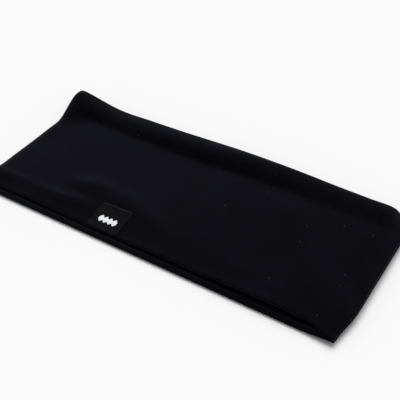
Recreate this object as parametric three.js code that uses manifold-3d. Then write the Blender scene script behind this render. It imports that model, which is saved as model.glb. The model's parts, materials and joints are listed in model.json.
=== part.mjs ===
// A wide tubular sports headband of doubled jersey, lying flat, so that its loop is two layers.
// Millimetres, +Z up. X runs along the flattened loop, from the fold (left) to the seam (right).
// Y runs across the band, from the near long edge to the far one. The origin is on the table, at
// the centre of the band.
//
// The loop opens like a six-panel chain: in each layer a centre panel and two end panels, which
// meet at the fold and at the seam. Every hinge line runs along Y.

import * as THREE from "three";
import { mergeVertices } from "three/addons/utils/BufferGeometryUtils.js";
import Module from "manifold-3d";

// The band
const bandLength = 230; // flat, from fold to seam: half of the girth
const bandWidth = 97;
const bandHeight = 8.6; // of the two layers as they lie, with the air between them
const centerLength = 92; // crease to crease
const layerThickness = 1.6; // shell, lining and the gap between them
const shellThickness = 0.7;
const clearance = 0.3; // between neighbouring pieces
const frontSetback = 4; // the upper layer arches, so its near edge lies back from the lower one's

// The label, folded over the upper layer's near edge
const labelWidth = 21;
const labelDepth = 18.8;
const labelThickness = 0.4;
const labelFromCrease = 6.4;

// The woven mark: a row of diamonds joined at their corners
const markDiamonds = 4;
const markLength = 12;
const markHeight = 4.8;
const markThickness = 0.2;
const markJoin = 0.4; // how far neighbouring diamonds run into each other
const markFromEdge = 7.7;

// The stitches along the label's upper edge
const stitchLength = 1.9;
const stitchSpace = 0.7;
const stitchWidth = 0.5;
const stitchBase = 0.2;
const stitchHeight = 0.4;
const stitchInset = 1.2; // from the label's upper edge

// The closing seam inside the right-hand end
const allowanceWidth = 8;
const allowanceThickness = 1.2;
const allowanceFromTurn = 0.6;
const seamStitchPitch = 3;
const seamStitchReach = 4; // across the allowance
const seamThread = 0.45;

const arcSteps = 10; // in a quarter turn
const cutMargin = 1; // how far a cutting body runs past what it cuts

// Worked out from the sizes above
const midHeight = bandHeight / 2;
const turnCenter = bandLength / 2 - midHeight; // where an end panel starts its quarter turn
const creaseEdge = (centerLength - clearance) / 2;
const liningDepth = shellThickness + clearance; // under the outer skin
const layers = {
  front: { face: 1, near: -bandWidth / 2 + frontSetback, far: bandWidth / 2 },
  back: { face: -1, near: -bandWidth / 2, far: bandWidth / 2 },
};

const jersey = () => new THREE.MeshStandardMaterial({ color: 0x17171b, roughness: 0.92, metalness: 0 });
const liningJersey = () => new THREE.MeshStandardMaterial({ color: 0x121216, roughness: 0.95, metalness: 0 });
const labelTape = () => new THREE.MeshStandardMaterial({ color: 0x08080a, roughness: 0.75, metalness: 0 });
const whiteThread = () => new THREE.MeshStandardMaterial({ color: 0xf2f3f4, roughness: 0.7, metalness: 0 });
const blackThread = () => new THREE.MeshStandardMaterial({ color: 0x1c1c20, roughness: 0.65, metalness: 0 });

const wasm = await Module();
wasm.setup();

const headband = new THREE.Group();

function addPiece(name, geometry, material) {
  const mesh = new THREE.Mesh(geometry, material);
  mesh.name = name;
  headband.add(mesh);
}

// Positions only, with shared vertices merged: what a boolean takes.
function solidOf(geometry) {
  const bare = geometry.clone().deleteAttribute("normal").deleteAttribute("uv");
  const merged = mergeVertices(bare);
  return new wasm.Manifold(
    new wasm.Mesh({
      numProp: 3,
      vertProperties: merged.getAttribute("position").array,
      triVerts: new Uint32Array(merged.getIndex().array),
    }),
  );
}

function geometryOf(solid) {
  const mesh = solid.getMesh();
  return new THREE.BufferGeometry()
    .setAttribute("position", new THREE.BufferAttribute(mesh.vertProperties, 3))
    .setIndex(new THREE.BufferAttribute(mesh.triVerts, 1));
}

// An outline in the X-Z plane, carried across the band from y = near to y = far.
function acrossBand(outline, near, far) {
  const geometry = new THREE.ExtrudeGeometry(outline, { depth: far - near, bevelEnabled: false });
  return geometry.rotateX(Math.PI / 2).translate(0, far, 0);
}

// Height of the surface that lies a given depth under a layer's outer skin. face is 1 in the
// upper layer and -1 in the lower one.
const levelAt = (face, depth) => midHeight + face * (midHeight - depth);

// One ply of a centre panel, between two depths under the outer skin.
function centerOutline(face, outside, inside, overrun = 0) {
  const edge = creaseEdge + overrun;
  return new THREE.Shape([
    new THREE.Vector2(-edge, levelAt(face, outside)),
    new THREE.Vector2(edge, levelAt(face, outside)),
    new THREE.Vector2(edge, levelAt(face, inside)),
    new THREE.Vector2(-edge, levelAt(face, inside)),
  ]);
}

// One ply of an end panel: flat from the crease, then a quarter turn towards the other layer.
// side is -1 at the fold and 1 at the seam.
function endOutline(side, face, outside, inside, overrun = 0) {
  const crease = side * (creaseEdge + clearance - overrun);
  const turnAt = (depth) => {
    const radius = midHeight - depth;
    const lastAngle = Math.acos((clearance / 2 - overrun) / radius);
    return Array.from({ length: arcSteps + 1 }, (_, step) => {
      const angle = (lastAngle * step) / arcSteps;
      const x = side * (turnCenter + radius * Math.sin(angle));
      return new THREE.Vector2(x, midHeight + face * radius * Math.cos(angle));
    });
  };
  return new THREE.Shape([
    new THREE.Vector2(crease, levelAt(face, outside)),
    ...turnAt(outside),
    ...turnAt(inside).reverse(),
    new THREE.Vector2(crease, levelAt(face, inside)),
  ]);
}

// The panels. The shell's long edges turn in round the lining, which lies in its recess.
const panels = {
  left: (face, outside, inside, overrun) => endOutline(-1, face, outside, inside, overrun),
  center: centerOutline,
  right: (face, outside, inside, overrun) => endOutline(1, face, outside, inside, overrun),
};
for (const [layer, { face, near, far }] of Object.entries(layers)) {
  for (const [panel, outline] of Object.entries(panels)) {
    const block = acrossBand(outline(face, 0, layerThickness), near, far);
    const recess = acrossBand(
      outline(face, shellThickness, layerThickness + cutMargin, cutMargin),
      near + shellThickness,
      far - shellThickness,
    );
    const shell = solidOf(block).subtract(solidOf(recess));
    addPiece(`${layer}_shell_${panel}`, geometryOf(shell), jersey());
    const lining = acrossBand(
      outline(face, liningDepth, layerThickness),
      near + liningDepth,
      far - liningDepth,
    );
    addPiece(`${layer}_lining_${panel}`, lining, liningJersey());
  }
}

// The label: a tape folded round the upper layer's near edge, with equal flaps above and below.
const labelLeft = -centerLength / 2 + labelFromCrease;
const hemEdge = layers.front.near;
const hemMiddle = bandHeight - layerThickness / 2;
const labelInside = layerThickness / 2 + clearance; // half of the room inside the fold
const labelOutside = labelInside + labelThickness;
const labelTop = hemMiddle + labelOutside;
function labelOutline() {
  const flapEnd = hemEdge + labelDepth;
  const outline = new THREE.Shape();
  outline.moveTo(flapEnd, hemMiddle + labelOutside);
  outline.absarc(hemEdge, hemMiddle, labelOutside, Math.PI / 2, (3 * Math.PI) / 2, false);
  outline.lineTo(flapEnd, hemMiddle - labelOutside);
  outline.lineTo(flapEnd, hemMiddle - labelInside);
  outline.absarc(hemEdge, hemMiddle, labelInside, (3 * Math.PI) / 2, Math.PI / 2, true);
  outline.lineTo(flapEnd, hemMiddle + labelInside);
  return outline;
}
const labelBody = new THREE.ExtrudeGeometry(labelOutline(), {
  depth: labelWidth,
  bevelEnabled: false,
  curveSegments: 2 * arcSteps,
});
// The outline's plane is turned so that its first axis runs along Y and its second along Z.
labelBody.applyMatrix4(
  new THREE.Matrix4().makeBasis(
    new THREE.Vector3(0, 1, 0),
    new THREE.Vector3(0, 0, 1),
    new THREE.Vector3(1, 0, 0),
  ),
);
addPiece("hem_label", labelBody.translate(labelLeft, 0, 0), labelTape());

// The mark lies on the upper flap: one closed outline, along the diamonds' near corners and back
// along their far ones.
function markOutline() {
  const pitch = (markLength + markJoin * (markDiamonds - 1)) / markDiamonds - markJoin;
  const diamond = pitch + markJoin;
  const waist = (markHeight * markJoin) / (2 * diamond); // half of the height where two diamonds meet
  const edge = [];
  for (let i = 0; i < markDiamonds; i += 1) {
    const left = -markLength / 2 + i * pitch;
    edge.push(i === 0 ? [left, 0] : [left + markJoin / 2, waist]);
    edge.push([left + diamond / 2, markHeight / 2]);
  }
  const farSide = edge.map(([x, y]) => new THREE.Vector2(x, y));
  const nearSide = edge.slice(1).map(([x, y]) => new THREE.Vector2(x, -y));
  return new THREE.Shape([...farSide, new THREE.Vector2(markLength / 2, 0), ...nearSide.reverse()]);
}
const mark = new THREE.ExtrudeGeometry(markOutline(), { depth: markThickness, bevelEnabled: false });
mark.translate(labelLeft + labelWidth / 2, hemEdge + markFromEdge, labelTop + clearance);
addPiece("label_mark", mark, whiteThread());

// The label's stitches: raised lengths of thread on the thin line where the thread runs on.
function stitchOutline() {
  const pitch = stitchLength + stitchSpace;
  const count = Math.floor((labelWidth + stitchSpace) / pitch);
  const start = (labelWidth - count * pitch + stitchSpace) / 2;
  const foot = labelTop + clearance;
  const points = [];
  for (let i = 0; i < count; i += 1) {
    const left = labelLeft + start + i * pitch;
    points.push([left, foot + stitchHeight], [left + stitchLength, foot + stitchHeight]);
    if (i < count - 1) {
      points.push([left + stitchLength, foot + stitchBase], [left + pitch, foot + stitchBase]);
    }
  }
  const [first, last] = [points[0][0], points[points.length - 1][0]];
  points.push([last, foot], [first, foot]);
  return new THREE.Shape(points.map(([x, z]) => new THREE.Vector2(x, z)));
}
const stitchLine = hemEdge + labelDepth - stitchInset;
addPiece(
  "label_stitching",
  acrossBand(stitchOutline(), stitchLine - stitchWidth / 2, stitchLine + stitchWidth / 2),
  blackThread(),
);

// The seam allowance: the turned-in ends of the cloth, under the upper layer, with a rounded edge
// towards the middle of the band.
const allowanceTop = bandHeight - layerThickness - clearance;
const allowanceRight = turnCenter - allowanceFromTurn;
const seamNear = layers.front.near + liningDepth;
const seamFar = layers.front.far - liningDepth;
function allowanceOutline() {
  const round = allowanceThickness / 2;
  const left = allowanceRight - allowanceWidth + round;
  const outline = new THREE.Shape();
  outline.moveTo(allowanceRight, allowanceTop);
  outline.absarc(left, allowanceTop - round, round, Math.PI / 2, (3 * Math.PI) / 2, false);
  outline.lineTo(allowanceRight, allowanceTop - allowanceThickness);
  return outline;
}
addPiece("seam_allowance", acrossBand(allowanceOutline(), seamNear, seamFar), jersey());

// The seam thread: a zigzag along the allowance's underside.
function seamThreadOutline() {
  const run = seamFar - seamNear - 2 * seamThread;
  const turns = Math.floor(run / seamStitchPitch);
  const middle = allowanceRight - allowanceWidth / 2;
  const edge = Array.from({ length: turns + 1 }, (_, turn) => {
    const x = middle + (turn % 2 === 0 ? -0.5 : 0.5) * seamStitchReach;
    return [x, seamNear + seamThread + (turn * run) / turns];
  });
  const shifted = (offset) => edge.map(([x, y]) => new THREE.Vector2(x + offset, y));
  return new THREE.Shape([...shifted(seamThread), ...shifted(-seamThread).reverse()]);
}
const seamZigzag = new THREE.ExtrudeGeometry(seamThreadOutline(), {
  depth: seamThread,
  bevelEnabled: false,
});
seamZigzag.translate(0, 0, allowanceTop - allowanceThickness - clearance - seamThread);
addPiece("seam_stitching", seamZigzag, blackThread());

export default headband;
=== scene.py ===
import json
import bmesh
import bpy
import numpy as np
from mathutils import Matrix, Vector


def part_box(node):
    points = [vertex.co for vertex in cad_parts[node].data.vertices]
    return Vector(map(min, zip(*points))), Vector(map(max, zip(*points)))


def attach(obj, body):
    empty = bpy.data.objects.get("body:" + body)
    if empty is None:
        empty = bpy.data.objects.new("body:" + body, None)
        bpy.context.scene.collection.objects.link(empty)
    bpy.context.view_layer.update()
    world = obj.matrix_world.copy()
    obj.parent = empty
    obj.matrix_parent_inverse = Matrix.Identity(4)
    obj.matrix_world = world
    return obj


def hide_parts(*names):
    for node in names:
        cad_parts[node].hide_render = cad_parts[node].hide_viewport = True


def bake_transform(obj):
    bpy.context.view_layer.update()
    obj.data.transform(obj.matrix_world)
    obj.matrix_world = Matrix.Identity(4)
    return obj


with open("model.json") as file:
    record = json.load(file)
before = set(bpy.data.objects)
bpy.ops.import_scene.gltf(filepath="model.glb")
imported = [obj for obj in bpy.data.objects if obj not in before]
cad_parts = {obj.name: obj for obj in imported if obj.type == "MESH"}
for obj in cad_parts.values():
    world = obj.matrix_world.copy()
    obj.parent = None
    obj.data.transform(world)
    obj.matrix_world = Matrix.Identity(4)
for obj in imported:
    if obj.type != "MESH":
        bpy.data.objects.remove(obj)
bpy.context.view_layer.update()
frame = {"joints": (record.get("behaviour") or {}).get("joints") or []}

# A wide tubular sports headband, lying flat. Every shape is worked out in millimetres, in the
# model's own frame, and its points go into the mesh in metres.
MM = 0.001

# ---- The cloth ---------------------------------------------------------------------------------
# One endless loop of black polyester and elastane jersey, doubled, so that both long edges are
# soft folds without a hem. It lies flat as two layers, the upper one raised in a roll along its
# far edge. The loop is shown in panels that share their borders.

pivots = {joint["name"]: np.array(joint["pos_m"]) / MM for joint in frame["joints"]}
seam_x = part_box("front_shell_right")[1].x / MM
band_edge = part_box("back_shell_center")[1].y / MM
front_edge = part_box("front_shell_center")[0].y / MM
pivot_level = pivots["end_fold"][2]

CLOTH_HALF = 0.65  # half of the doubled cloth's thickness
HEM_PUFF = 0.12  # how much fuller the cloth is just inside a folded edge
NEAR_PUFF = 0.4  # and how much more along the lower layer's near edge, which bears the load
FOLD_PROUD = 0.4  # how far the fold's soft turn stands past its hinge line
TURN_DEPTH = 6.0  # of the turn, along the loop
TURN_HALF = 1.85  # half of the height between the two layers' middles where the turn starts
FAR_SETBACK = 0.5  # how far the upper layer's far edge lies back from the lower one's
STEP = 1.0  # between the rows, and between the columns, of the cloth's grid
ROUND_STEPS = 6  # in a rounded edge
TURN_STEPS = 24  # round the fold's turn
SAME_PLACE = 1e-7  # in metres: points nearer than this are one point
FLAT_LEVEL = 5.9  # of the upper layer's middle where it lies flat
UPPER_WAVE, LOWER_WAVE = 0.35, 0.1  # the layers' slight unevenness
NEAR_RIDGE = 1.0  # height of the ridge along the near edge, from the label to the fold
HOLLOW = 1.2  # depth of the hollow behind that ridge
CREST = 1.1  # height of the ridge that runs from behind the label down to the near edge
TOE = 33.0  # the line along which the far roll rises out of the flat cloth
TOE_ROUND = 0.8  # how softly it does so
SEAM_RIDGE = 0.8  # height of the ridge over the seam allowance
SEAM_SINK = 1.1  # how far the seam's near corner sinks
SEAM_PULL = 2.6  # and how far it is drawn in
SEAM_REACHED = 114.5  # where the layers have come together, just short of the seam


def ease(value, start, end):
    """A smooth rise from 0 at start to 1 at end: three times the square less twice the cube."""
    t = np.clip((value - start) / (end - start), 0, 1)
    return t * t * (3 - 2 * t)


def hump(value, middle, spread):
    """A soft hump of height 1: the exponential of minus half the squared distance in spreads."""
    return np.exp(-0.5 * ((value - middle) / spread) ** 2)


def through(value, places, levels):
    """A smooth curve through chosen places and levels: a cubic from each to the next, whose end
    slopes are the slopes of the chords round them, and level past the first and the last."""
    places, levels = np.array(places, float), np.array(levels, float)
    slopes = np.gradient(levels, places)
    slopes[[0, -1]] = 0
    value = np.clip(value, places[0], places[-1])
    i = np.clip(np.searchsorted(places, value, side="right") - 1, 0, len(places) - 2)
    gap = places[i + 1] - places[i]
    t = (value - places[i]) / gap
    start = levels[i] * (1 + 2 * t) * (1 - t) ** 2 + gap * slopes[i] * t * (1 - t) ** 2
    return start + levels[i + 1] * t * t * (3 - 2 * t) + gap * slopes[i + 1] * t * t * (t - 1)


def waves(x, y, seed, height):
    """The cloth's slight unevenness: the sum of six sine waves of 25 to 60 mm in every direction."""
    rng = np.random.default_rng(seed)
    total = 0
    for _ in range(6):
        turn, phase = rng.uniform(0, np.pi), rng.uniform(0, 2 * np.pi)
        length = rng.uniform(25, 60)
        total = total + np.sin(2 * np.pi * (x * np.cos(turn) + y * np.sin(turn)) / length + phase)
    return height * total / 6


def fullness(near, far, side):
    """Half the cloth's thickness, before its edges round off, at its distances from the near and
    the far folded edge: a soft bulge just inside each, fuller in the lower layer's near one."""
    near_bulge = HEM_PUFF + NEAR_PUFF * (1 - side) / 2
    return CLOTH_HALF + near_bulge * hump(near, 1.5, 1.1) + HEM_PUFF * hump(far, 1.8, 1.0)


def seam_level(y):
    """Height of the line where the layers meet at the seam: its near corner sinks to the table."""
    return pivot_level - SEAM_SINK * ease(-y, 28, 48)


def label_folds(x, y):
    """Height of the soft folds beside the label: humps across y for the ridge along the near
    edge, the hollow behind it and the crest, whose line bends towards the near edge."""
    near_ridge = (1 - ease(x, -48, -30)) * hump(y, -37, 3.2)
    hollow = hump(x, -52, 13) * hump(y + 27 + 0.12 * (x + 52), 0, 3.8)
    crest_line = -17.8 - 17.5 * ease(x, -30, 14) - 5 * ease(-x, 52, 75)
    crest_share = ease(x, -78, -52) * (1.0 - 0.55 * ease(x, -22, 12)) * (1 - ease(x, 55, 100))
    return NEAR_RIDGE * near_ridge - HOLLOW * hollow + CREST * crest_share * hump(y, crest_line, 4.3)


def near_edge_level(x):
    """Height of the upper layer's middle at its near edge, from the fold to the seam."""
    places = [-115, -101, -81, -52, -40, -19, 8, 31, 49, 85, 98, 115]
    return through(x, places, [5.4, 3.8, 4.2, 3.5, 2.75, 3.0, 4.35, 4.2, 5.05, 5.5, 5.3, 3.2])


def roll_crest(x, softer):
    """Height of the far roll's crest, highest in the curled corner at the fold."""
    places = [-115, -107, -100, -90, -82, -60, -37, 6, 45, 70, 90, 105, 115]
    levels = [16.2, 15.2, 13.8, 11.7, 10.7, 10.9, 11.4, 12.9, 12.4, 11.4, 10.9, 10.6, 8.0]
    return through(x, places, levels) + 1.9 * softer * (1 - ease(x, 100, 115))


def roll_climb(y, softer, at_fold):
    """The share of its crest that the far roll has reached: one less a power of what is left of
    the way up from the toe, a steep one where the roll is steep, and a smooth rise at the fold."""
    from_toe = np.logaddexp(0, (y - TOE) / TOE_ROUND) * TOE_ROUND
    climb = 1 - (1 - np.clip(from_toe / (9 + 6 * softer), 0, 1)) ** (2.2 - 0.6 * softer)
    return climb + at_fold * (ease(y, 21, 45) - climb)


def upper_level(x, y):
    """Height of the upper layer's middle: flat, with the folds beside the label, lower along the
    near edge, a roll along the far edge that ends in the curled far left corner, and the ridge
    that the seam allowance makes, before it comes down to the seam."""
    softer = ease(x, -20, 50)  # 0 where the roll is steep, 1 where it is a gentle rise
    at_fold = ease(-x, 92, 112)
    level = FLAT_LEVEL + waves(x, y, seed=5, height=UPPER_WAVE)
    level = level + 2.2 * softer * ease(y, -15, 32) + 0.2 * at_fold * ease(y, 0, 24)
    level = level + label_folds(x, y)
    descent = -22 - 12 * ease(-x, 42, 66)  # where the fall to the near edge starts
    level = level + (near_edge_level(x) - level) * (1 - ease(y, -45, descent))

    level = level + (roll_crest(x, softer) - level) * roll_climb(y, softer, at_fold)
    steep_droop = 0.6 * (1 - softer) * ease(y, 43, 48)
    soft_droop = 2.2 * softer * np.clip((y - 38.5) / 9.5, 0, 1) ** 2
    level = level - steep_droop - soft_droop

    ridge_line = 108 + 1.5 * (y / 40) ** 2
    ridge_share = ease(y, -47, -38) * (1 - ease(y, 25, 42))
    level = level + SEAM_RIDGE * hump(x, ridge_line, 1.7) * ridge_share
    to_seam = ease(x, 97 + 7 * ease(y, 10, 46), SEAM_REACHED)
    return level + (seam_level(y) + CLOTH_HALF - level) * to_seam


def lower_level(x, y):
    """Height of the lower layer's middle: on the table, rising at the left to lie under the upper
    layer by the fold, most of all in the curled corner, and at the right to the seam."""
    rise_start = 88 - 33 * ease(y, 24, 46)
    rise_end = 108 - 6 * ease(y, 24, 46)
    to_fold = ease(-x, rise_start, rise_end)
    unevenness = waves(x, y, seed=9, height=LOWER_WAVE) ** 2  # squared, so that it only lifts
    level = fullness(y + band_edge, band_edge - y, -1) + unevenness
    under_upper = np.maximum(upper_level(x, y) - 2 * TURN_HALF, level)
    level = level + (under_upper - level) * to_fold
    level = level + ease(y, 44.5, 48) * hump(x, -98, 9)  # its far edge curls up by the corner
    return level + (seam_level(y) - CLOTH_HALF - level) * ease(x, 94, SEAM_REACHED)


def from_edge(length, radius=CLOTH_HALF, step=STEP):
    """Places from one rounded edge to the other: close together round the edges, as the angle
    of the edge's half circle goes up in equal steps, and a step apart between them."""
    angles = np.linspace(0, np.pi / 2, ROUND_STEPS + 1)
    edge = radius * (1 - np.cos(angles))
    middle = np.linspace(edge[-1], length - edge[-1], int(length / step))[1:-1]
    return np.concatenate([edge, middle, length - edge[::-1]])


def roundness(distance, radius=CLOTH_HALF):
    """The share of the thickness at a distance from an edge: a half circle, then all of it."""
    short = 1 - np.clip(distance / radius, 0, 1)
    return np.sqrt(1 - short**2)


# The rows of the loop's grid run from the seam along the lower layer, round the fold, and back
# along the upper layer to the seam. side is -1 in the lower layer, 1 in the upper one, and in
# the turn the negative cosine of the turn's angle.
turn_x = TURN_DEPTH + CLOTH_HALF - seam_x - FOLD_PROUD
layer_x = seam_x - from_edge(2 * seam_x)
layer_x = layer_x[layer_x > turn_x + STEP / 2]
turn = np.linspace(0, np.pi, TURN_STEPS + 1)
row_x = np.concatenate([layer_x, turn_x - TURN_DEPTH * np.sin(turn), layer_x[::-1]])
side = np.concatenate([-np.ones(len(layer_x)), -np.cos(turn), np.ones(len(layer_x))])
columns = from_edge(2 * band_edge)


def seam_pull(x, y):
    """How far the cloth draws in along the loop, towards the seam's near corner."""
    return SEAM_PULL * ease(-y, 26, 48) * ease(x, 80, 115)


def loop_middle(x, side, share):
    """The loop's middle surface: at each place along the loop and share of the way across, the
    layers' two heights, and between them in the fold, where the gap closes as an ellipse does."""
    meeting = 1 - 0.95 * ease(x, 98, 117)  # of the setback, which closes towards the seam
    near = -band_edge + (front_edge + band_edge) * meeting * (1 + side) / 2
    far = band_edge - FAR_SETBACK * (1 + side) / 2
    y = near + (far - near) * share
    upper, lower = upper_level(x, y), lower_level(x, y)
    z = (upper + lower) / 2 + side * (upper - lower) / 2
    return np.stack([x - seam_pull(x, y), y, z], -1)


def grid_normals(points):
    """Unit normals of a grid of points: the cross product of its two directions."""
    normal = np.cross(np.gradient(points, axis=0), np.gradient(points, axis=1))
    return normal / np.linalg.norm(normal, axis=-1, keepdims=True)


def quads(a, b, c, d):
    """Faces from four grids of corners, in the order in which they go round each face."""
    return np.stack([a.ravel(), b.ravel(), c.ravel(), d.ravel()], -1)


def new_piece(name, points, skin, walls, uv, material):
    """An object from points in millimetres and two groups of faces, the skin smooth and the
    walls flat with sharp edges, its cloth map from uv, and points that coincide merged."""
    faces = np.concatenate([skin, walls])
    mesh = bpy.data.meshes.new(name)
    mesh.from_pydata((points * MM).tolist(), [], faces.tolist())
    mesh.polygons.foreach_set("use_smooth", np.arange(len(faces)) < len(skin))
    mesh.uv_layers.new(name="cloth").data.foreach_set("uv", uv[faces.ravel()].ravel())
    merged = bmesh.new()
    merged.from_mesh(mesh)
    bmesh.ops.remove_doubles(merged, verts=merged.verts, dist=SAME_PLACE)
    for edge in (e for face in merged.faces if not face.smooth for e in face.edges):
        edge.smooth = False
    merged.to_mesh(mesh)
    merged.free()
    mesh.materials.append(material)
    piece = bpy.data.objects.new(name, mesh)
    bpy.context.scene.collection.objects.link(piece)
    return piece


def closed_sheet(name, middle, normal, half, uv, material):
    """A closed sheet from the grid of its middle surface. Its outer face stands half a thickness
    off along the normals and its inner face as far the other way, and strips close its four
    sides. Where half is nothing, as along a folded edge, the two faces share their points."""
    rows, columns = half.shape
    offset = normal * half[..., None]
    points = np.concatenate([(middle + offset).reshape(-1, 3), (middle - offset).reshape(-1, 3)])
    outer = np.arange(rows * columns).reshape(rows, columns)
    inner = outer + rows * columns

    skin = np.concatenate([
        quads(outer[:-1, :-1], outer[1:, :-1], outer[1:, 1:], outer[:-1, 1:]),
        quads(inner[:-1, :-1], inner[:-1, 1:], inner[1:, 1:], inner[1:, :-1]),
    ])
    walls = np.concatenate([
        quads(outer[0, :-1], outer[0, 1:], inner[0, 1:], inner[0, :-1]),
        quads(outer[-1, :-1], inner[-1, :-1], inner[-1, 1:], outer[-1, 1:]),
        quads(outer[:-1, 0], inner[:-1, 0], inner[1:, 0], outer[1:, 0]),
        quads(outer[:-1, -1], outer[1:, -1], inner[1:, -1], inner[:-1, -1]),
    ])
    uv_points = np.concatenate([uv.reshape(-1, 2), uv.reshape(-1, 2)])
    return new_piece(name, points, skin, walls, uv_points, material)


def linear(hex_color):
    """An sRGB hex colour as linear light, with an alpha of 1."""
    srgb = np.array([int(hex_color[i : i + 2], 16) for i in (1, 3, 5)]) / 255
    light = np.where(srgb <= 0.04045, srgb / 12.92, ((srgb + 0.055) / 1.055) ** 2.4)
    return (*light.tolist(), 1.0)


def add_node(tree, kind, inputs=(), **settings):
    """Adds a node with its settings. Each input is a value for a socket, or a socket to link."""
    node = tree.nodes.new(kind)
    for name, value in settings.items():
        setattr(node, name, value)
    for socket, value in dict(inputs).items():
        if isinstance(value, bpy.types.NodeSocket):
            tree.links.new(value, node.inputs[socket])
        else:
            node.inputs[socket].default_value = value
    return node


def new_material(name):
    """An empty node material, with its output and its one shader linked."""
    material = bpy.data.materials.new(name)
    material.use_nodes = True
    tree = material.node_tree
    return material, tree, tree.nodes["Principled BSDF"]


# Fine knit: polyester and elastane, piece dyed black and left unbrushed. It drinks the light, and
# only its fibre ends catch it where the cloth turns away, as a thin grey bloom. The wales are
# 0.5 mm apart, too fine to show, so they are drawn 1.2 mm apart and low.
WALE = 1.2
COURSE = 1.5
LINT_SPACING = 16.0
LINT_RADIUS = 0.3  # of the largest specks


def dyed_jersey(name, color, light_color, lint_color):
    """The knit's wales and courses as two crossed waves, the yarn's unevenness as noise, and a
    few specks of lint, all on the cloth's own map, which is in millimetres."""
    material, tree, shader = new_material(name)
    place = add_node(tree, "ShaderNodeUVMap", uv_map="cloth").outputs["UV"]
    wale = add_node(tree, "ShaderNodeTexWave", {
        "Vector": place, "Scale": 2 * np.pi / (20 * WALE), "Distortion": 0.6,
        "Detail": 1.0, "Detail Scale": 0.5,
    }, bands_direction="X")
    course = add_node(tree, "ShaderNodeTexWave", {
        "Vector": place, "Scale": 2 * np.pi / (20 * COURSE), "Distortion": 0.8,
        "Detail": 1.0, "Detail Scale": 0.5,
    }, bands_direction="Y")
    knit = add_node(tree, "ShaderNodeMath", {0: wale.outputs["Fac"], 1: course.outputs["Fac"]},
                    operation="MULTIPLY")
    yarn = add_node(tree, "ShaderNodeTexNoise", {"Vector": place, "Scale": 0.8, "Detail": 3.0,
                                                 "Roughness": 0.7})
    uneven = add_node(tree, "ShaderNodeMath", {
        0: knit.outputs[0], 1: 0.2, 2: yarn.outputs["Fac"],
    }, operation="MULTIPLY_ADD")
    worn = add_node(tree, "ShaderNodeTexNoise", {"Vector": place, "Scale": 0.045, "Detail": 2.0})
    shade = add_node(tree, "ShaderNodeMath", {
        0: worn.outputs["Fac"], 1: 0.6, 2: uneven.outputs[0],
    }, operation="MULTIPLY_ADD")
    tone = add_node(tree, "ShaderNodeMapRange", {"Value": shade.outputs[0], "From Min": 0.6,
                                                 "From Max": 1.1})
    cloth = add_node(tree, "ShaderNodeMix", {
        "Factor": tone.outputs[0], "A": linear(color), "B": linear(light_color),
    }, data_type="RGBA")
    speck = add_node(tree, "ShaderNodeTexVoronoi", {"Vector": place, "Scale": 1 / LINT_SPACING},
                     voronoi_dimensions="2D")
    chosen = add_node(tree, "ShaderNodeSeparateColor", {"Color": speck.outputs["Color"]})
    size = add_node(tree, "ShaderNodeMapRange", {
        "Value": chosen.outputs["Red"], "From Min": 0.6, "To Max": LINT_RADIUS / LINT_SPACING,
    })
    lint = add_node(tree, "ShaderNodeMath", {0: speck.outputs["Distance"], 1: size.outputs[0]},
                    operation="LESS_THAN")
    linted = add_node(tree, "ShaderNodeMix", {
        "Factor": lint.outputs[0], "A": cloth.outputs[2], "B": linear(lint_color),
    }, data_type="RGBA")
    tree.links.new(linted.outputs[2], shader.inputs["Base Color"])
    relief = add_node(tree, "ShaderNodeBump", {"Height": uneven.outputs[0], "Strength": 0.4,
                                               "Distance": 0.0001})
    tree.links.new(relief.outputs[0], shader.inputs["Normal"])
    shader.inputs["Roughness"].default_value = 0.85
    shader.inputs["Specular IOR Level"].default_value = 0.01
    shader.inputs["Sheen Weight"].default_value = 0.32
    shader.inputs["Sheen Roughness"].default_value = 0.38
    shader.inputs["Sheen Tint"].default_value = linear("#CCD0EC")
    return material


jersey = dyed_jersey("piece_dyed_jersey", "#030306", "#0A0A10", "#3E4048")

# The grid of the whole loop, its half thickness, and the cloth's own map: millimetres along the
# loop and across it.
loop = loop_middle(row_x[:, None], side[:, None], columns[None, :] / (2 * band_edge))
loop_normal = grid_normals(loop)
from_near, from_far = columns[None, :], (2 * band_edge - columns)[None, :]
seam_distance = np.where(np.abs(side) == 1, seam_x - row_x, seam_x)[:, None]
rounded = roundness(np.minimum(from_near, from_far)) * roundness(seam_distance)
half = fullness(from_near, from_far, side[:, None]) * rounded
length_along = np.cumsum(np.linalg.norm(np.diff(loop, axis=0, prepend=loop[:1]), axis=-1), axis=0)
middle_column = len(columns) // 2
loop_uv = np.stack(
    np.broadcast_arrays(length_along[:, middle_column, None], columns[None, :]), -1
)


def cloth_piece(name, first, last, near=0, far=len(columns) - 1):
    """The part of the loop between two rows and two columns, borders included."""
    part = (slice(first, last + 1), slice(near, far + 1))
    return closed_sheet(name, loop[part], loop_normal[part], half[part], loop_uv[part], jersey)


def row_at(x, layer):
    """The row nearest to x in the lower layer, -1, or the upper one, 1."""
    return int(np.argmin(np.where(side == layer, np.abs(row_x - x), np.inf)))


# ---- The flat panels ---------------------------------------------------------------------------
# The cloth of the two layers as they lie, in four panels that share their borders.
FOLD_CUT = -105.5  # where the panels meet the fold's pieces
panel_rows = {
    "back_cloth_right": (0, row_at(0, -1)),
    "back_cloth_left": (row_at(0, -1), row_at(FOLD_CUT, -1)),
    "front_cloth_left": (row_at(FOLD_CUT, 1), row_at(0, 1)),
    "front_cloth_right": (row_at(0, 1), len(row_x) - 1),
}
for name, (first, last) in panel_rows.items():
    layer, _, end = name.split("_")
    panel = cloth_piece(name, first, last)
    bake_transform(panel)
    nodes = [f"{layer}_{ply}_{end}" for ply in ("shell", "lining")]
    if end == "left":
        nodes += [f"{layer}_{ply}_center" for ply in ("shell", "lining")]
    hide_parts(*nodes)
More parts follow.
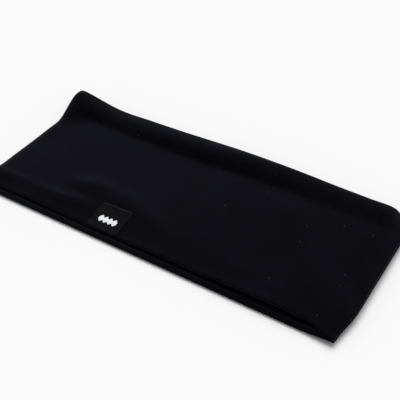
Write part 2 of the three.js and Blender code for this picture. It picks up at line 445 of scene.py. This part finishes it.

# ---- The fold ----------------------------------------------------------------------------------
# The turn from the lower layer to the upper one, which curls up in the far corner. Its pieces lie
# side by side across the band.
fold_first, fold_last = row_at(FOLD_CUT, -1), row_at(FOLD_CUT, 1)
turn_middle = len(row_x) // 2
fold_cuts = {"near": (-band_edge, 8), "middle": (8, 25), "rising": (25, 36), "far": (36, band_edge)}
for part, (near_y, far_y) in fold_cuts.items():
    near, far = (int(np.argmin(np.abs(loop[turn_middle, :, 1] - y))) for y in (near_y, far_y))
    fold = cloth_piece(f"fold_cloth_{part}", fold_first, fold_last, near, far)
    (x, near_y, near_z), (_, far_y, far_z) = loop[turn_middle, near], loop[turn_middle, far]
    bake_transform(fold)

# ---- The label ---------------------------------------------------------------------------------
# A fold-over label of fine black satin tape with smooth woven sides, folded in half round the
# upper layer's near edge, so that it clamps the cloth between its two flaps.
label_low, label_high = (np.array(corner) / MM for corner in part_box("hem_label"))
TAPE_HALF = 0.17  # half of the tape's thickness
TAPE_GAP = 0.05  # between the tape and the cloth
TAPE_STEP = 0.6  # along the tape, which goes round a tight edge
NEARBY = 0.05  # how far off the layer's height is read, on either side, for its slope


def round_edge(x, y, turn, lift):
    """A place off the upper layer, and the direction in which it lies. It starts from the layer's
    middle at x and y and goes out by half the cloth's thickness and a lift. The direction turns
    in the plane across the near edge, from straight off the outer face, 0, out over the edge, to
    straight off the inner face, pi. A slope is a difference of two heights over their distance."""
    x, y, turn = np.broadcast_arrays(x, y, turn)
    level = upper_level(x, y)
    slope_x = (upper_level(x + NEARBY, y) - upper_level(x - NEARBY, y)) / (2 * NEARBY)
    slope_y = (upper_level(x, y + NEARBY) - upper_level(x, y - NEARBY)) / (2 * NEARBY)
    off = np.stack([-slope_x, -slope_y, np.ones_like(level)], -1)
    off = off / np.linalg.norm(off, axis=-1, keepdims=True)
    over = np.stack([np.zeros_like(level), -np.ones_like(level), -slope_y], -1)
    over = over / np.linalg.norm(over, axis=-1, keepdims=True)
    direction = off * np.cos(turn)[..., None] + over * np.sin(turn)[..., None]
    reach = fullness(y - front_edge, band_edge - y, 1) + lift
    return np.stack([x, y, level], -1) + direction * reach[..., None], direction


def with_label(piece, slot, *nodes):
    """Bakes a piece's placing into its mesh, and hides the model's parts that it stands for."""
    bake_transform(piece)
    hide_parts(*nodes)


# Satin tape: bright filament yarn in a close warp-faced weave, black. It is as dark as the cloth
# but smoother, so it takes a broad soft gleam. Its warp of 0.1 mm is drawn as ribs 0.6 mm apart.
RIB = 0.6
satin, satin_tree, satin_shader = new_material("woven_satin_tape")
satin_place = add_node(satin_tree, "ShaderNodeUVMap", uv_map="cloth").outputs["UV"]
ribs = add_node(satin_tree, "ShaderNodeTexWave", {
    "Vector": satin_place, "Scale": 2 * np.pi / (20 * RIB), "Distortion": 0.4,
}, bands_direction="X")
slub = add_node(satin_tree, "ShaderNodeTexNoise", {"Vector": satin_place, "Scale": 0.9})
weave = add_node(satin_tree, "ShaderNodeMath", {0: ribs.outputs["Fac"], 1: slub.outputs["Fac"]},
                 operation="MULTIPLY")
satin_tone = add_node(satin_tree, "ShaderNodeMix", {
    "Factor": weave.outputs[0], "A": linear("#030305"), "B": linear("#07070B"),
}, data_type="RGBA")
satin_tree.links.new(satin_tone.outputs[2], satin_shader.inputs["Base Color"])
satin_relief = add_node(satin_tree, "ShaderNodeBump", {"Height": weave.outputs[0],
                                                       "Strength": 0.2, "Distance": 0.00005})
satin_tree.links.new(satin_relief.outputs[0], satin_shader.inputs["Normal"])
satin_shader.inputs["Roughness"].default_value = 0.6
satin_shader.inputs["Specular IOR Level"].default_value = 0.05

# The tape's path goes from the end of the lower flap to the edge, round it, and back on top.
label_lift = TAPE_GAP + TAPE_HALF
turn_radius = CLOTH_HALF + label_lift
edge_middle = front_edge + CLOTH_HALF
flap = label_high[1] - edge_middle
tape_length = 2 * flap + np.pi * turn_radius
tape_s = from_edge(tape_length, TAPE_HALF, TAPE_STEP)
tape_x = from_edge(label_high[0] - label_low[0], TAPE_HALF)
past_turn = tape_s - flap - np.pi * turn_radius
tape_y = edge_middle + np.maximum(np.maximum(flap - tape_s, past_turn), 0)
tape_turn = np.clip(np.pi - (tape_s - flap) / turn_radius, 0, np.pi)
tape, tape_normal = round_edge((label_low[0] + tape_x)[:, None], tape_y, tape_turn, label_lift)
side_distance = np.minimum(tape_x, tape_x[-1] - tape_x)[:, None]
end_distance = np.minimum(tape_s, tape_s[-1] - tape_s)[None, :]
tape_half = TAPE_HALF * roundness(side_distance, TAPE_HALF) * roundness(end_distance, TAPE_HALF)
tape_uv = np.stack(np.broadcast_arrays(tape_x[:, None], tape_s[None, :]), -1)
label = closed_sheet("fold_over_label", tape, tape_normal, tape_half, tape_uv, satin)
with_label(label, "label_tape", "hem_label")

# ---- The mark on the label ---------------------------------------------------------------------
# A plain motif, a row of joined diamonds. It is woven into the tape with a white weft, so it
# stands hardly proud.
mark_low, mark_high = (np.array(corner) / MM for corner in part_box("label_mark"))
DIAMONDS = 4
WAIST = 0.9  # half of the width where two diamonds join
MARK_HALF = 0.09  # half of the floating weft's thickness
DIAMOND_STEPS, ACROSS_STEPS = 24, 12  # along each diamond, and across the row

# White weft: fine filament yarn that floats across the motif, left white and slightly silky. Its
# picks are drawn 0.4 mm apart.
PICK = 0.4
weft, weft_tree, weft_shader = new_material("woven_white_weft")
weft_place = add_node(weft_tree, "ShaderNodeUVMap", uv_map="cloth").outputs["UV"]
picks = add_node(weft_tree, "ShaderNodeTexWave", {
    "Vector": weft_place, "Scale": 2 * np.pi / (20 * PICK), "Distortion": 0.5,
}, bands_direction="Y")
weft_tone = add_node(weft_tree, "ShaderNodeMix", {
    "Factor": picks.outputs["Fac"], "A": linear("#E3E4E6"), "B": linear("#F4F5F6"),
}, data_type="RGBA")
weft_tree.links.new(weft_tone.outputs[2], weft_shader.inputs["Base Color"])
weft_relief = add_node(weft_tree, "ShaderNodeBump", {"Height": picks.outputs["Fac"],
                                                     "Strength": 0.3, "Distance": 0.00004})
weft_tree.links.new(weft_relief.outputs[0], weft_shader.inputs["Normal"])
weft_shader.inputs["Roughness"].default_value = 0.6
weft_shader.inputs["Specular IOR Level"].default_value = 0.3

# Its outline is a triangle wave above a narrow waist, and its thickness a half ellipse across.
mark_x = np.linspace(mark_low[0], mark_high[0], DIAMOND_STEPS * DIAMONDS + 1)
in_diamond = np.linspace(0, DIAMONDS, len(mark_x)) % 1
reach_y = (mark_high[1] - mark_low[1]) / 2
reach_y = WAIST + (reach_y - WAIST) * (1 - np.abs(2 * in_diamond - 1))
across = np.linspace(-np.pi / 2, np.pi / 2, ACROSS_STEPS + 1)
mark_y = (mark_low[1] + mark_high[1]) / 2 + np.sin(across)[None, :] * reach_y[:, None]
mark, mark_normal = round_edge(mark_x[:, None], mark_y, 0.0, TAPE_GAP + 2 * TAPE_HALF)
bulge = np.cos(across)
bulge[[0, -1]] = 0
mark_half = np.broadcast_to(MARK_HALF * bulge, mark_y.shape)
mark_uv = np.stack([np.broadcast_to(mark_x[:, None], mark_y.shape), mark_y], -1)
motif = closed_sheet("woven_mark", mark, mark_normal, mark_half, mark_uv, weft)
with_label(motif, "white_thread", "label_mark")

# ---- The label's stitching ---------------------------------------------------------------------
# One straight row of lockstitch near the ends of the flaps: a thread on top of the label and one
# below it, which dip into the same holes.
THREAD = 0.17  # the thread's radius
RING_STEPS = 8  # round a thread
STITCH = 2.6
STITCH_STEPS = 12  # along each stitch
STITCH_INSET = 1.2  # of the row from the label's far edge
ROW_MARGIN = 0.9  # of the row's ends from the label's sides


def thread(name, paths, offs, radius, material):
    """Round threads along paths: each ring is a circle in the plane of two directions, the path's
    side, which is the cross product of its way and of the direction off the surface, and that
    side's own cross product with the way. The rings shrink to a point at both ends."""
    round_s = np.linspace(0, 2 * np.pi, RING_STEPS + 1)
    points, faces, uvs, start = [], [], [], 0
    for path, off in zip(paths, offs):
        way = np.gradient(path, axis=0)
        step = np.linalg.norm(way, axis=-1, keepdims=True)
        side_way = np.cross(way / step, off)
        side_way = side_way / np.linalg.norm(side_way, axis=-1, keepdims=True)
        up_way = np.cross(side_way, way / step)
        length = np.cumsum(step)
        taper = roundness(np.minimum(length - length[0], length[-1] - length), 2 * radius)
        ring = side_way[:, None] * np.cos(round_s)[:, None]
        ring = ring + up_way[:, None] * np.sin(round_s)[:, None]
        points.append((path[:, None] + radius * taper[:, None, None] * ring).reshape(-1, 3))
        grid = start + np.arange(len(path) * len(round_s)).reshape(len(path), -1)
        faces.append(quads(grid[:-1, :-1], grid[:-1, 1:], grid[1:, 1:], grid[1:, :-1]))
        uv = np.broadcast_arrays(length[:, None], round_s[None, :] * radius)
        uvs.append(np.stack(uv, -1).reshape(-1, 2))
        start += grid.size
    walls = np.zeros((0, 4), int)
    return new_piece(name, np.concatenate(points), np.concatenate(faces), walls,
                     np.concatenate(uvs), material)


# Spun polyester thread, dyed black. Its base colour is painted a shade greyer than the cloth: a
# painted sheen, for the light that its fibre ends catch. The twist is drawn as slanted bands.
spun, spun_tree, spun_shader = new_material("spun_polyester_thread")
spun_place = add_node(spun_tree, "ShaderNodeUVMap", uv_map="cloth").outputs["UV"]
twist = add_node(spun_tree, "ShaderNodeTexWave", {"Vector": spun_place, "Scale": 0.6,
                                                  "Distortion": 0.3}, bands_direction="DIAGONAL")
# Painted sheen: both tones are greyer than the black dye, for the light that the thread's fibres
# catch.
spun_twist_and_sheen = add_node(spun_tree, "ShaderNodeMix", {
    "Factor": twist.outputs["Fac"], "A": linear("#18181B"), "B": linear("#333338"),
}, data_type="RGBA")
spun_tree.links.new(spun_twist_and_sheen.outputs[2], spun_shader.inputs["Base Color"])
spun_shader.inputs["Roughness"].default_value = 0.7
spun_shader.inputs["Specular IOR Level"].default_value = 0.2

row_y = label_high[1] - STITCH_INSET
row_start, row_end = label_low[0] + ROW_MARGIN, label_high[0] - ROW_MARGIN
stitches = round((row_end - row_start) / STITCH)
stitch_s = np.linspace(0, stitches, STITCH_STEPS * stitches + 1)
stitch_x = row_start + stitch_s / stitches * (row_end - row_start)
rise = 2 * THREAD * np.sqrt(np.abs(np.sin(np.pi * stitch_s))) - THREAD
thread_lift = TAPE_GAP + 2 * TAPE_HALF + rise
runs = [round_edge(stitch_x, row_y, face, thread_lift) for face in (0.0, np.pi)]
stitching = thread("label_stitches", *zip(*runs), THREAD, spun)
with_label(stitching, "black_thread", "label_stitching")

# ---- The seam allowance ------------------------------------------------------------------------
# Where the loop is closed, the cloth's four cut edges are turned in under the upper layer, as one
# soft strip that thins towards the seam and makes a faint ridge on top.
seam_low, seam_high = (np.array(corner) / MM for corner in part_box("seam_allowance"))
ALLOWANCE_HALF = 0.42  # half of its thickness at the free edge
TAPER = 6.0  # the stretch by the seam over which it thins
STRIP_STEPS = (0.8, 1.5)  # along the loop, and across the band


def allowance_half(x):
    """Half the strip's thickness: full at its free edge, and a quarter of that by the seam."""
    return ALLOWANCE_HALF * (1 - 0.75 * ease(x, seam_high[0] - TAPER, seam_high[0]))


strip_width, strip_length = (seam_high - seam_low)[:2]
strip_x = seam_low[0] + from_edge(strip_width, ALLOWANCE_HALF, STRIP_STEPS[0])
strip_y = seam_high[1] - from_edge(strip_length, ALLOWANCE_HALF, STRIP_STEPS[1])
strip_full = allowance_half(strip_x)[:, None]
strip, strip_normal = round_edge(strip_x[:, None], strip_y, np.pi, TAPE_GAP + strip_full)
strip_ends = np.minimum(strip_y - strip_y[-1], strip_y[0] - strip_y)[None, :]
strip_half = strip_full * roundness((strip_x - strip_x[0])[:, None], ALLOWANCE_HALF)
strip_half = strip_half * roundness(strip_ends, ALLOWANCE_HALF)
strip_uv = np.stack(np.broadcast_arrays(strip_x[:, None], strip_y[None, :]), -1)
allowance = closed_sheet("turned_in_allowance", strip, strip_normal, strip_half, strip_uv, jersey)
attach(allowance, "front_right")
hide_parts("seam_allowance")

# ---- The seam's roll ---------------------------------------------------------------------------
# The narrow roll of cloth in the seam itself, where the two layers turn in to the allowance. It
# lies on the line about which the layers open, so it fills the groove between them at any angle.
ROLL_RADIUS = 0.55
ROLL_INSET = 0.6  # of its ends from the band's two edges
roll_y = from_edge(2 * (band_edge - ROLL_INSET), ROLL_RADIUS) - band_edge + ROLL_INSET
roll_x = seam_x - seam_pull(seam_x, roll_y)
roll_path = np.stack([roll_x, roll_y, seam_level(roll_y)], -1)
roll_off = np.broadcast_to([0.0, 0.0, 1.0], roll_path.shape)
seam_roll = thread("seam_roll", [roll_path], [roll_off], ROLL_RADIUS, jersey)
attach(seam_roll, "front_right")

# ---- The seam's stitching ----------------------------------------------------------------------
# A zigzag of the same spun polyester thread, sewn along the allowance. It holds the cut edges
# flat and stretches with them.
ZIGZAG = 3.0  # from one point to the next on the same side
ZIGZAG_HALF = 1.5  # half of its width
ZIGZAG_INSET = 1.0  # from the allowance's free edge and from its two ends
ZIGZAG_STEPS = 10  # in each zigzag
zigzag_y = np.arange(strip_y[-1] + ZIGZAG_INSET, strip_y[0] - ZIGZAG_INSET, ZIGZAG / ZIGZAG_STEPS)
zigzag_share = np.arcsin(np.sin(2 * np.pi * zigzag_y / ZIGZAG)) / (np.pi / 2)
zigzag_x = seam_low[0] + ZIGZAG_INSET + ZIGZAG_HALF * (1 + zigzag_share)
zigzag_lift = TAPE_GAP + 2 * allowance_half(zigzag_x) + THREAD / 2
zigzag, zigzag_off = round_edge(zigzag_x, zigzag_y, np.pi, zigzag_lift)
zigzag_thread = thread("seam_zigzag", [zigzag], [zigzag_off], THREAD, spun)
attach(zigzag_thread, "front_right")
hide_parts("seam_stitching")

# ---- The camera --------------------------------------------------------------------------------
# From the near right and above, close enough that both ends run out of the frame.
AZIMUTH, ELEVATION, ROLL = np.radians([32.81, 40.50, -1.01])
DISTANCE = 443.0  # from the place that it looks at
LOOKED_AT = np.array([2.2, 9.0, 0])
back = np.array([
    np.sin(AZIMUTH) * np.cos(ELEVATION), -np.cos(AZIMUTH) * np.cos(ELEVATION), np.sin(ELEVATION),
])
level_right = np.array([np.cos(AZIMUTH), np.sin(AZIMUTH), 0])
level_up = np.cross(back, level_right)
right = level_right * np.cos(ROLL) + level_up * np.sin(ROLL)
up = np.cross(back, right)
place = LOOKED_AT + back * DISTANCE
camera = bpy.data.objects.new("camera", bpy.data.cameras.new("camera"))
camera.data.lens = 68.9
camera.data.sensor_width = 36
camera.data.clip_start = 0.01
turned = Matrix(np.stack([right, up, back], 1)).to_4x4()
camera.matrix_world = Matrix.Translation(place * MM) @ turned
bpy.context.scene.collection.objects.link(camera)
bpy.context.scene.camera = camera

# ---- The floor and the light -------------------------------------------------------------------
# A plain white table top, and one very wide soft light from behind and above.
floor_mesh = bpy.data.meshes.new("floor")
REACH = 8.0  # in metres, so that its edge stays out of sight
corners = [(-REACH, -REACH, 0), (REACH, -REACH, 0), (REACH, REACH, 0), (-REACH, REACH, 0)]
floor_mesh.from_pydata(corners, [], [(0, 1, 2, 3)])
floor = bpy.data.objects.new("floor", floor_mesh)
bpy.context.scene.collection.objects.link(floor)
floor_material, _, floor_shader = new_material("matte_white_laminate")
floor_shader.inputs["Base Color"].default_value = linear("#F8F8F7")
floor_shader.inputs["Roughness"].default_value = 0.8
floor_shader.inputs["Specular IOR Level"].default_value = 0.2
floor_mesh.materials.append(floor_material)

key = bpy.data.objects.new("key", bpy.data.lights.new("key", "SUN"))
key.data.energy = 2.25
key.data.angle = np.radians(50)
key.rotation_euler = np.radians([-33, 0, 12])
bpy.context.scene.collection.objects.link(key)
world = bpy.data.worlds.new("studio")
world.use_nodes = True
world.node_tree.nodes["Background"].inputs["Color"].default_value = linear("#F5F6F8")
world.node_tree.nodes["Background"].inputs["Strength"].default_value = 0.45
bpy.context.scene.world = world
bpy.context.scene.view_settings.view_transform = "Standard"
